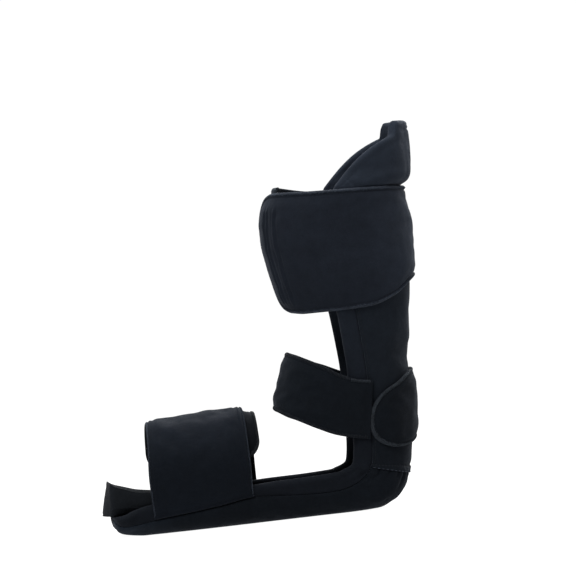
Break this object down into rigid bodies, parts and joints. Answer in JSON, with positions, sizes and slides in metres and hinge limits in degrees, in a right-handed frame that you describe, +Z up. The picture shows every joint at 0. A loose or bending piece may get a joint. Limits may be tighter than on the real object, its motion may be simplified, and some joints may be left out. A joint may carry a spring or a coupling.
{
  "type": "plantar fasciitis night splint",
  "caption": "Padded L-shaped foot and calf brace, open at the toes, with a calf strap, an ankle strap, a foot strap and a foam toe wedge.",
  "frame": {"origin": "on the flat underside of the sole, under the ankle, in the plane that halves the boot", "axes": "+Z up along the calf, toes towards -X, the wearer's inner ankle towards -Y"},
  "size_m": [0.3209, 0.1404, 0.356],
  "materials": {
    "padded_shell": "brushed loop fabric over foam, nearly black",
    "sole_cover": "brushed fabric, nearly black",
    "rear_panel": "brushed loop fabric, nearly black",
    "calf_strap": "brushed loop fabric, nearly black",
    "calf_strap_underlap": "brushed loop fabric, nearly black",
    "ankle_strap": "brushed loop fabric, nearly black",
    "foot_strap": "brushed loop fabric, nearly black",
    "foot_strap_tab": "brushed loop fabric, nearly black",
    "toe_wedge": "cloth-faced foam, nearly black"
  },
  "bodies": {
    "root": {"padded_shell": "padded_shell", "sole_cover": "sole_cover", "rear_panel": "rear_panel", "calf_strap": "calf_strap", "calf_strap_underlap": "calf_strap_underlap", "ankle_strap": "ankle_strap", "foot_strap": "foot_strap", "foot_strap_tab": "foot_strap_tab", "toe_wedge": "toe_wedge"}
  },
  "joints": []
}
